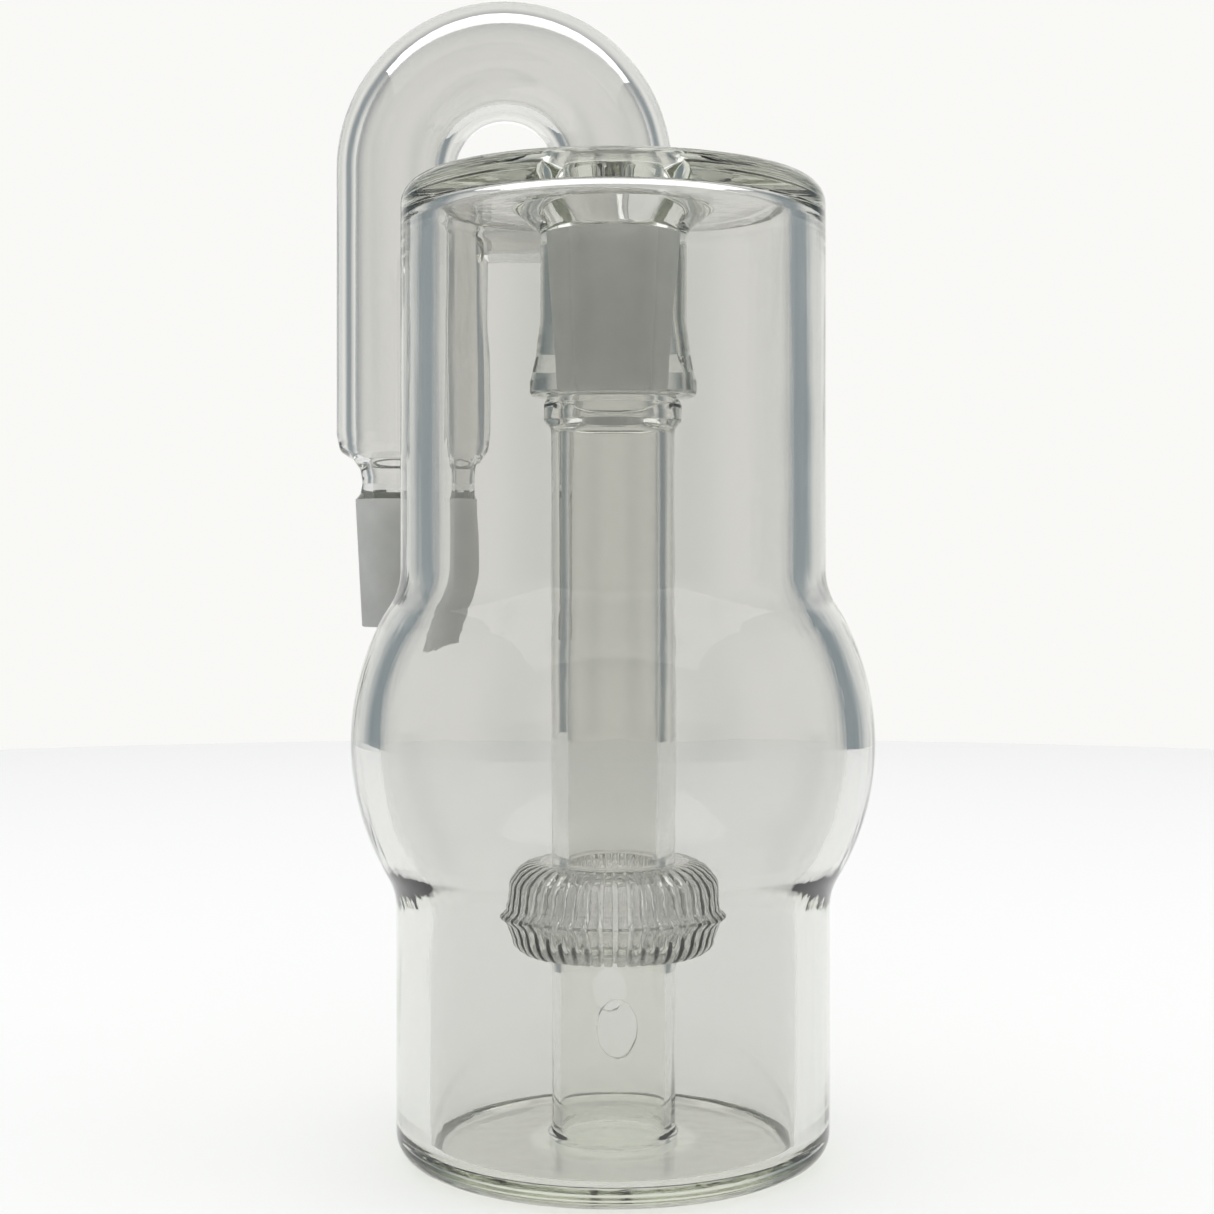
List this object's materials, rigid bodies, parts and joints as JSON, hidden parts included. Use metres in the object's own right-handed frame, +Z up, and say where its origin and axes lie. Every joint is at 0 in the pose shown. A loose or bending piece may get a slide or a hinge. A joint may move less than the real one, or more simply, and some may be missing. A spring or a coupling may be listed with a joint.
{
  "type": "glass bubbler",
  "caption": "Clear glass in-line gas washing bubbler: round body with a blown bulb, a ground socket and stem down to a slotted diffuser, and an upturned rear arm ending in a ground cone.",
  "frame": {"origin": "centre of the base's flat underside", "axes": "+Z up along the body's axis, +Y towards the arm's port at the back, the hanging leg on -X"},
  "size_m": [0.0901, 0.0983, 0.1918],
  "materials": {
    "clear_glass": "fire-polished clear borosilicate",
    "plate_glass": "thick clear plate with a faint green edge",
    "ribbed_glass": "clear glass cut into narrow ribs",
    "ground_glass": "ground, matt grey"
  },
  "bodies": {
    "root": {"base_plate": "plate_glass", "lower_wall": "clear_glass", "lower_weld_ring": "clear_glass", "bulb_lower_wall": "clear_glass", "bulb_upper_wall": "clear_glass", "upper_weld_ring": "clear_glass", "upper_wall": "clear_glass", "top_plate": "plate_glass", "socket_funnel": "clear_glass", "socket_barrel": "ground_glass", "socket_lip": "clear_glass", "stem_collar": "clear_glass", "stem_tube": "clear_glass", "diffuser_shoulder": "clear_glass", "diffuser_dome": "ribbed_glass", "diffuser_lip": "ribbed_glass", "diffuser_bowl": "ribbed_glass", "diffuser_floor": "clear_glass", "support_stub": "clear_glass", "stub_foot": "clear_glass", "port_flange": "clear_glass", "arm_elbow": "clear_glass", "arm_riser": "clear_glass", "arm_bridge": "clear_glass", "arm_bend_rise": "clear_glass", "arm_bend_fall": "clear_glass", "arm_leg": "clear_glass", "leg_shoulder": "clear_glass", "leg_neck": "clear_glass", "male_cone": "ground_glass"}
  },
  "joints": []
}
